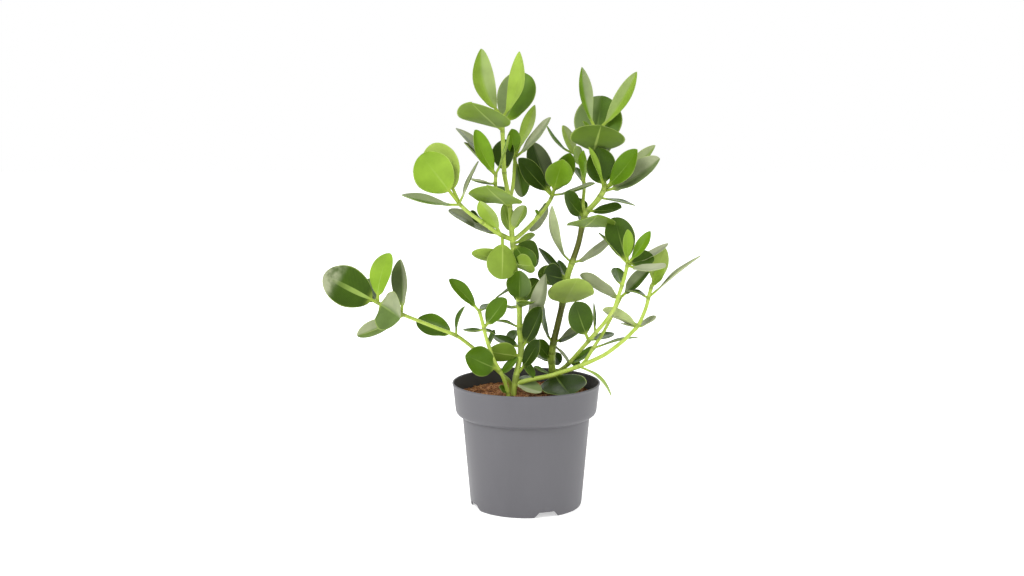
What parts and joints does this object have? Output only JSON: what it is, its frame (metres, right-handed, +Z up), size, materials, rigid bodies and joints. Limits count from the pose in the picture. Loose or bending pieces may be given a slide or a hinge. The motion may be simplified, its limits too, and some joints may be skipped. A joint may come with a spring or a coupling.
{
  "type": "potted clusia",
  "caption": "Young clusia plant with thick paddle-shaped leaves in opposite pairs on leaning stems, growing in coco peat in a round tapered nursery pot.",
  "frame": {"origin": "middle of the flat pad under the pot, on the surface it stands on", "axes": "+Z up along the pot's axis, the front of the plant looks along -Y, +X to the right as seen from the front"},
  "size_m": [0.4201, 0.17, 0.5211],
  "materials": {
    "pot_plastic": "moulded satin plastic, grey outside and charcoal inside",
    "coco_peat": "loose fibrous brown coco peat, matte",
    "foliage": "thick waxy leaves with a soft gloss on lime green stems"
  },
  "bodies": {
    "root": {"pot": "pot_plastic", "soil": "coco_peat", "stem_centre": "foliage", "stem_slim_left": "foliage", "stem_far_left": "foliage", "stem_right": "foliage"}
  },
  "joints": []
}
